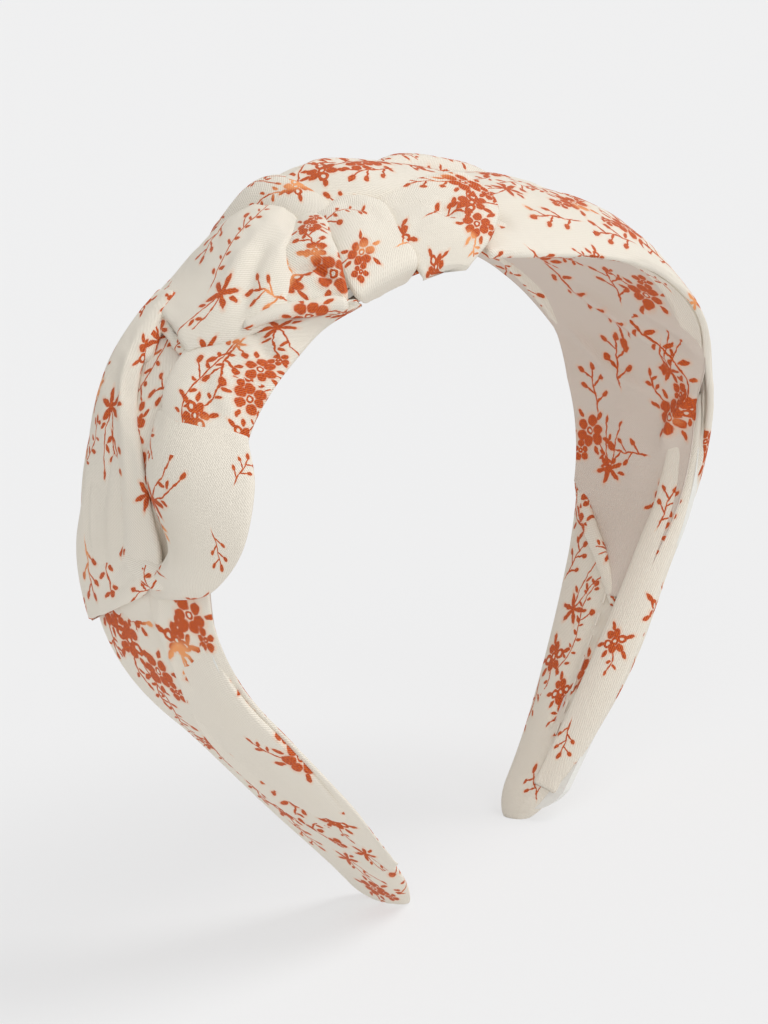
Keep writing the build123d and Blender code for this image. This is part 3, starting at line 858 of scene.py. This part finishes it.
def lining_sheet():
    """The strip of cloth inside the band, which ends in a slanted edge on each leg."""
    across = np.linspace(-1, 1, int(50 / SPACING))
    end = np.interp(across, [-1, -0.1, 1], [LINING_END_FRONT, LINING_END_FRONT, LINING_END_BACK])
    s = np.linspace(-1, 1, int(270 / SPACING))[:, None] * end
    bow = -LINING_BOW * np.clip((-s - 110) / 40, 0, 1)
    half = np.where(across < 0, np.interp(s, *zip(*LINING_FRONT)), np.interp(s, *zip(*LINING_BACK)))
    wave = noise(np.stack([s / 16, across * 1.6 + 0 * s, 0 * s], -1), 51)
    over_wrap = WRAP_THICK * np.clip((np.abs(s) - 82) / 10, 0, 1)
    svh = np.stack([s, half * across + bow, LINING_LOW - over_wrap + LINING_WAVE * wave], -1)
    svh[..., 2] -= BACK_ROUND * np.clip(2 * across - 1, 0, 1) ** 2
    for depth, width, path in LINING_CREASES:
        distance, share = line_distance(svh[..., :2], path)
        svh[..., 2] += depth * np.exp(-(distance / width) ** 2) * fade_ends(share)
    grid = place(svh)
    cloth = np.stack([s, svh[..., 1]], -1)
    piece = sheet_mesh("lining", grid, cloth, -LINING_THICK)
    print_cloth(piece, "lining", grid, cloth, grid - place(svh + (0, 0, 1)))
    length, width = steps_of(grid).sum(0), steps_of(grid, 1).sum(1)
    return piece


# ---- materials ----
def new_material(name):
    material = bpy.data.materials.new(name)
    material.use_nodes = True
    return material, material.node_tree


class Tree:
    """Short calls for building a node tree."""

    def __init__(self, tree):
        self.tree = tree

    def put(self, socket, value):
        if isinstance(value, bpy.types.NodeSocket):
            self.tree.links.new(value, socket)
        else:
            socket.default_value = value

    def fill(self, node, values):
        """Puts named values into a node's inputs."""
        for name, value in values.items():
            self.put(node.inputs[name], value)

    def node(self, kind, **traits):
        node = self.tree.nodes.new(kind)
        for name, value in traits.items():
            setattr(node, name, value)
        return node

    def work(self, kind, operation, values):
        node = self.node(kind, operation=operation)
        for socket, value in zip(node.inputs, values):
            self.put(socket, value)
        return node.outputs

    def math(self, operation, *values):
        return self.work("ShaderNodeMath", operation, values)[0]

    def vector(self, operation, *values):
        outputs = self.work("ShaderNodeVectorMath", operation, values)
        return outputs["Value" if operation == "LENGTH" else "Vector"]

    def span(self, value, low, high, to_low=0.0, to_high=1.0):
        """Turns low to high into to_low to to_high, softly at both ends."""
        node = self.node("ShaderNodeMapRange", interpolation_type="SMOOTHSTEP")
        self.fill(node, {"Value": value, "From Min": low, "From Max": high,
                         "To Min": to_low, "To Max": to_high})
        return node.outputs["Result"]

    def mix(self, share, first, second):
        node = self.node("ShaderNodeMix", data_type="RGBA")
        self.put(node.inputs["Factor"], share)
        for socket, value in zip((s for s in node.inputs if s.type == "RGBA"), (first, second)):
            self.put(socket, value)
        return [s for s in node.outputs if s.type == "RGBA"][0]

    def noise(self, where, scale, detail=2.0, colour=False):
        node = self.node("ShaderNodeTexNoise")
        self.fill(node, {"Vector": where, "Scale": scale, "Detail": detail})
        return node.outputs["Color" if colour else "Fac"]

    def bump(self, shader, height, strength, distance):
        node = self.node("ShaderNodeBump")
        self.fill(node, {"Strength": strength, "Distance": distance, "Height": height})
        self.put(shader.inputs["Normal"], node.outputs["Normal"])


TINY = (1e-9, 1e-9, 1e-9)


def motif_group(kind):
    """Node group that turns a motif's own coordinates in mm into a value under 1 where there is ink."""
    group = bpy.data.node_groups.new("motif_" + kind, "ShaderNodeTree")
    group.interface.new_socket("Place", in_out="INPUT", socket_type="NodeSocketVector")
    group.interface.new_socket("Ink", in_out="OUTPUT", socket_type="NodeSocketFloat")
    t = Tree(group)
    where = t.node("NodeGroupInput").outputs["Place"]
    nearest = None
    for shape in MOTIFS[kind]():
        x, y, a, b, turn = shape[1:6]
        mapping = t.node("ShaderNodeMapping", vector_type="TEXTURE")
        # The tiny share of the last result makes the renderer work the shapes out one after the other.
        start = where if nearest is None else t.vector("MULTIPLY_ADD", nearest, TINY, where)
        rotation = (0, 0, radians(turn))
        t.fill(mapping, {"Vector": start, "Location": (x, y, 0), "Rotation": rotation, "Scale": (a, b, 1)})
        away = t.vector("LENGTH", mapping.outputs["Vector"])
        if shape[0] == "ring":
            away = t.math("MULTIPLY", t.math("ABSOLUTE", t.math("SUBTRACT", away, 1.0)), b / shape[6])
        nearest = away if nearest is None else t.math("MINIMUM", nearest, away)
    t.put(t.node("NodeGroupOutput").inputs["Ink"], nearest)
    return group


CREAM, CREAM_WARM = (0.91, 0.86, 0.765, 1), (0.90, 0.835, 0.72, 1)
# The lining is the same cloth, but its two creams are darker than the outer cloth's: painted shade for the
# shade that falls inside the band.
LINING_CREAM_PAINTED_SHADE, LINING_WARM_PAINTED_SHADE = (0.75, 0.665, 0.60, 1), (0.74, 0.64, 0.565, 1)
RUST, RUST_DEEP, SALMON = (0.68, 0.118, 0.010, 1), (0.46, 0.050, 0.003, 1), (0.90, 0.36, 0.13, 1)
THREAD_SHADE = (0.66, 0.59, 0.49, 1)
TWILL_PITCH = 0.55    # mm of cloth from rib to rib
WEAVE_DEPTH = 0.16    # mm


def cloth_material(name, light, warm):
    """Satin twill in two near shades of cream, with the floral print."""
    material, tree = new_material(name)
    t = Tree(tree)
    shader = tree.nodes["Principled BSDF"]
    weave = t.node("ShaderNodeUVMap", uv_map="weave").outputs["UV"]
    wobble = t.vector("SCALE", t.vector("SUBTRACT", t.noise(weave, 0.8, 1.0, colour=True), (0.5, 0.5, 0.5)))
    wobble.node.inputs["Scale"].default_value = 0.7
    ink = None
    for kind in MOTIFS:
        own = t.node("ShaderNodeUVMap", uv_map=kind).outputs["UV"]
        group = t.node("ShaderNodeGroup", node_tree=motif_group(kind))
        t.put(group.inputs["Place"], t.vector("ADD", own, wobble))
        ink = group.outputs["Ink"] if ink is None else t.math("MINIMUM", ink, group.outputs["Ink"])
    mask = t.span(ink, 1.22, 0.94)
    halo = t.math("MULTIPLY", t.span(ink, 2.1, 0.9), 0.45)
    parts = t.node("ShaderNodeSeparateXYZ")
    t.put(parts.inputs[0], weave)
    diagonal = t.math("MULTIPLY", t.math("ADD", parts.outputs["X"], parts.outputs["Y"]), tau / TWILL_PITCH)
    rib = t.math("MULTIPLY_ADD", t.math("SINE", diagonal), 0.5, 0.5)
    straight = t.math("MULTIPLY", parts.outputs["Y"], tau / TWILL_PITCH)
    cross = t.math("MULTIPLY_ADD", t.math("SINE", straight), 0.5, 0.5)
    thread = t.math("MULTIPLY_ADD", rib, 0.75, t.math("MULTIPLY", cross, 0.25))
    fleck = t.noise(weave, 2.6, 3.0)
    patch = t.noise(weave, 0.06, 2.0)
    cream = t.mix(patch, light, warm)
    cream = t.mix(t.math("MULTIPLY", thread, 0.5), cream, THREAD_SHADE)
    rust = t.mix(t.span(fleck, 0.35, 0.68), RUST_DEEP, RUST)
    rust = t.mix(t.span(patch, 0.62, 0.72), rust, SALMON)
    colour = t.mix(t.math("MULTIPLY", halo, t.span(fleck, 0.3, 0.7, 0.4, 1.0)), cream, SALMON)
    worn = t.math("MULTIPLY", mask, t.span(thread, 0.05, 0.6, 0.86, 1.0))
    colour = t.mix(worn, colour, rust)
    t.bump(shader, t.math("MULTIPLY_ADD", fleck, 0.5, thread), 0.6, WEAVE_DEPTH * MM)
    t.fill(shader, {"Base Color": colour, "Roughness": t.span(fleck, 0.2, 0.8, 0.5, 0.62),
                    "Specular IOR Level": 0.12, "Sheen Weight": 0.04, "Sheen Roughness": 0.45,
                    "Sheen Tint": (1, 0.97, 0.92, 1)})
    return material


def plain_material(name, colour, grain, depth, roughness):
    """A matt material with a fine grain of its own: grain in cells per mm, depth of the bump in mm."""
    material, tree = new_material(name)
    t = Tree(tree)
    shader = tree.nodes["Principled BSDF"]
    where = t.node("ShaderNodeTexCoord").outputs["Object"]
    grains = t.noise(where, grain / MM, 3.0)
    patches = t.noise(where, 60, 2.0)
    darker = tuple(0.86 * c for c in colour[:3]) + (1,)
    share = t.math("MULTIPLY_ADD", grains, 0.6, t.math("MULTIPLY", patches, 0.4))
    t.bump(shader, grains, 0.5, depth * MM)
    t.fill(shader, {"Base Color": t.mix(share, darker, colour),
                    "Roughness": t.span(grains, 0.2, 0.8, roughness - 0.08, roughness + 0.08)})
    return material


def finish_cad_nodes():
    """Materials for the CAD nodes that stay: the spring band, the foam and the threads."""
    plastic = plain_material("moulded_plastic", (0.86, 0.85, 0.80, 1), 0.8, 0.02, 0.45)
    foam = plain_material("foam", (0.90, 0.88, 0.82, 1), 2.5, 0.25, 0.9)
    thread = plain_material("sewing_thread", (0.86, 0.80, 0.70, 1), 6, 0.05, 0.7)
    for name, material in (("spring_band", plastic), ("foam_pad", foam), ("left_seam_thread", thread),
                           ("right_seam_thread", thread), ("knot_tack_threads", thread)):
        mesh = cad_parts[name].data
        mesh.materials.clear()
        mesh.materials.append(material)


def build():
    cloth = cloth_material("printed_satin", CREAM, CREAM_WARM)
    made = {}
    for name, spec in (STRANDS | PANELS).items():
        piece = (panel if name in PANELS else strand)(name, **spec)
        piece.data.materials.append(cloth)
        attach(piece, "root")
        made[name] = piece
    lining = lining_sheet()
    # The lining gets a copy of the cloth material in the darker creams: painted shade inside the band.
    lining.data.materials.append(cloth_material("printed_lining_painted_shade", LINING_CREAM_PAINTED_SHADE, LINING_WARM_PAINTED_SHADE))
    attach(lining, "root")
    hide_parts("lining")
    nodes = set(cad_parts)
    for name, piece in made.items():
        if name in nodes:
            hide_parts(name)


# ---- stage ----
# The photographed band leans back a little, so the camera is turned about the X axis instead of the band.
LEAN = radians(8.1)
AZIMUTH, ELEVATION = radians(-47.0), radians(22.3)
DISTANCE = 0.767
AIM = Vector((0, -0.0003, 0.0637))
PAN, TILT = radians(1.1), radians(0.9)


def camera():
    back = Vector((sin(AZIMUTH) * cos(ELEVATION), -cos(AZIMUTH) * cos(ELEVATION), sin(ELEVATION)))
    right = Vector((cos(AZIMUTH), sin(AZIMUTH), 0))
    up = back.cross(right)
    turn = Matrix((right, up, back)).transposed()
    spot = AIM + back * DISTANCE
    turn = turn @ Matrix.Rotation(PAN, 3, "Y") @ Matrix.Rotation(TILT, 3, "X")
    unlean = Matrix.Rotation(LEAN, 3, "X")
    data = bpy.data.cameras.new("camera")
    data.sensor_fit = "VERTICAL"
    data.sensor_height = 36
    data.lens = 134.3
    data.clip_start, data.clip_end = 0.01, 20
    eye = add_object("camera", data)
    eye.matrix_world = Matrix.Translation(unlean @ spot) @ (unlean @ turn).to_4x4()
    bpy.context.scene.camera = eye


def soft_sun(name, toward, power, spread):
    """Even light from the direction `toward`, with soft shadows."""
    data = bpy.data.lights.new(name, "SUN")
    data.energy = power
    data.angle = radians(spread)
    add_object(name, data).rotation_euler = Vector(toward).to_track_quat("Z", "Y").to_euler()


def stage():
    mesh = bpy.data.meshes.new("floor")
    far = 6.0
    corners = [(-far, -far, 0), (far, -far, 0), (far, far, 0), (-far, far, 0)]
    mesh.from_pydata(corners, [], [(0, 1, 2, 3)])
    floor = add_object("floor", mesh)
    material, tree = new_material("floor_paper")
    shader = tree.nodes["Principled BSDF"]
    # Most of the paper's brightness is its own, so that shadows on it stay faint.
    Tree(tree).fill(shader, {"Base Color": (0.30, 0.30, 0.30, 1), "Roughness": 0.9, "Specular IOR Level": 0.1,
                             "Emission Color": (1, 1, 1.005, 1), "Emission Strength": 0.56})
    mesh.materials.append(material)
    world = bpy.data.worlds.new("studio")
    world.use_nodes = True
    Tree(world.node_tree).fill(world.node_tree.nodes["Background"], {"Color": (1, 1, 1, 1), "Strength": 0.55})
    bpy.context.scene.world = world
    soft_sun("key", (0.50, -0.45, 0.85), 1.5, 40)
    soft_sun("fill", (-0.6, -0.7, 0.5), 0.5, 60)
    bpy.context.scene.view_settings.view_transform = "Standard"


build()
finish_cad_nodes()
camera()
stage()
